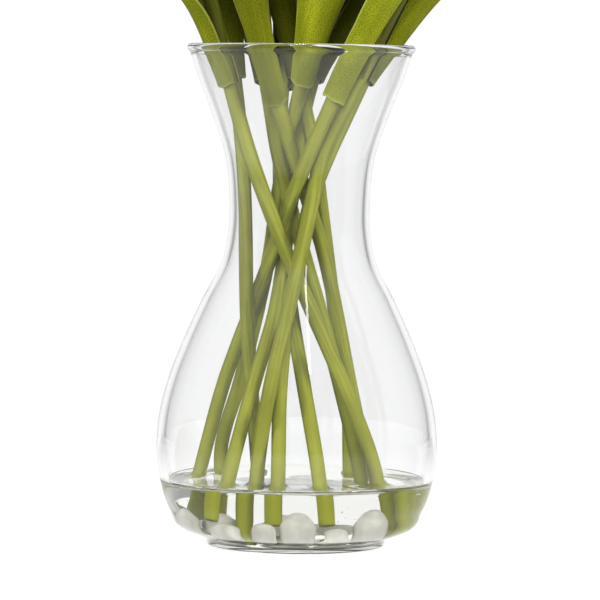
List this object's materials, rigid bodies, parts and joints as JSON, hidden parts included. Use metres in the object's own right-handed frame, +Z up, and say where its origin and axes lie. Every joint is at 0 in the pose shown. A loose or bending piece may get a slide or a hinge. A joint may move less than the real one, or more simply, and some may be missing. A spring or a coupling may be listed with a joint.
{
  "type": "tulip arrangement in vase",
  "caption": "Tulips with long folded leaves in a clear belly-shaped glass vase, their crossed stems held in clear set water over white river pebbles.",
  "frame": {"origin": "middle of the vase's flat underside, on the surface that it stands on", "axes": "+Z up along the vase's axis, -Y towards the picture's camera, +X to the picture's right"},
  "size_m": [0.2957, 0.2411, 0.4351],
  "materials": {
    "vase_glass": "clear, polished",
    "clear_resin": "clear cast resin that looks like still water",
    "pebble": "smooth white river pebble, slightly translucent",
    "stem": "moulded, satin olive green",
    "leaf": "moulded, matt with fine lengthwise veins",
    "petal": "moulded, soft matt warm white, green-yellow at the base"
  },
  "bodies": {
    "root": {"vase": "vase_glass", "water": "clear_resin", "pebble_01": "pebble", "pebble_02": "pebble", "pebble_03": "pebble", "pebble_04": "pebble", "pebble_05": "pebble", "pebble_06": "pebble", "pebble_07": "pebble", "pebble_08": "pebble", "pebble_09": "pebble", "pebble_10": "pebble", "pebble_11": "pebble", "pebble_12": "pebble", "pebble_13": "pebble", "pebble_14": "pebble", "pebble_15": "pebble", "stem_01": "stem", "stem_02": "stem", "stem_03": "stem", "stem_04": "stem", "stem_05": "stem", "stem_06": "stem", "stem_07": "stem", "stem_08": "stem", "stem_09": "stem", "stem_10": "stem", "stem_11": "stem", "leaf_01": "leaf", "leaf_02": "leaf", "leaf_03": "leaf", "leaf_04": "leaf", "leaf_05": "leaf", "leaf_06": "leaf", "leaf_07": "leaf", "leaf_08": "leaf", "leaf_09": "leaf", "leaf_10": "leaf", "leaf_11": "leaf", "bloom_01": "petal", "bloom_02": "petal", "bloom_03": "petal", "bloom_04": "petal", "bloom_05": "petal", "bloom_06": "petal", "bloom_07": "petal", "bloom_08": "petal", "bloom_09": "petal", "bloom_10": "petal", "bloom_11": "petal"}
  },
  "joints": []
}
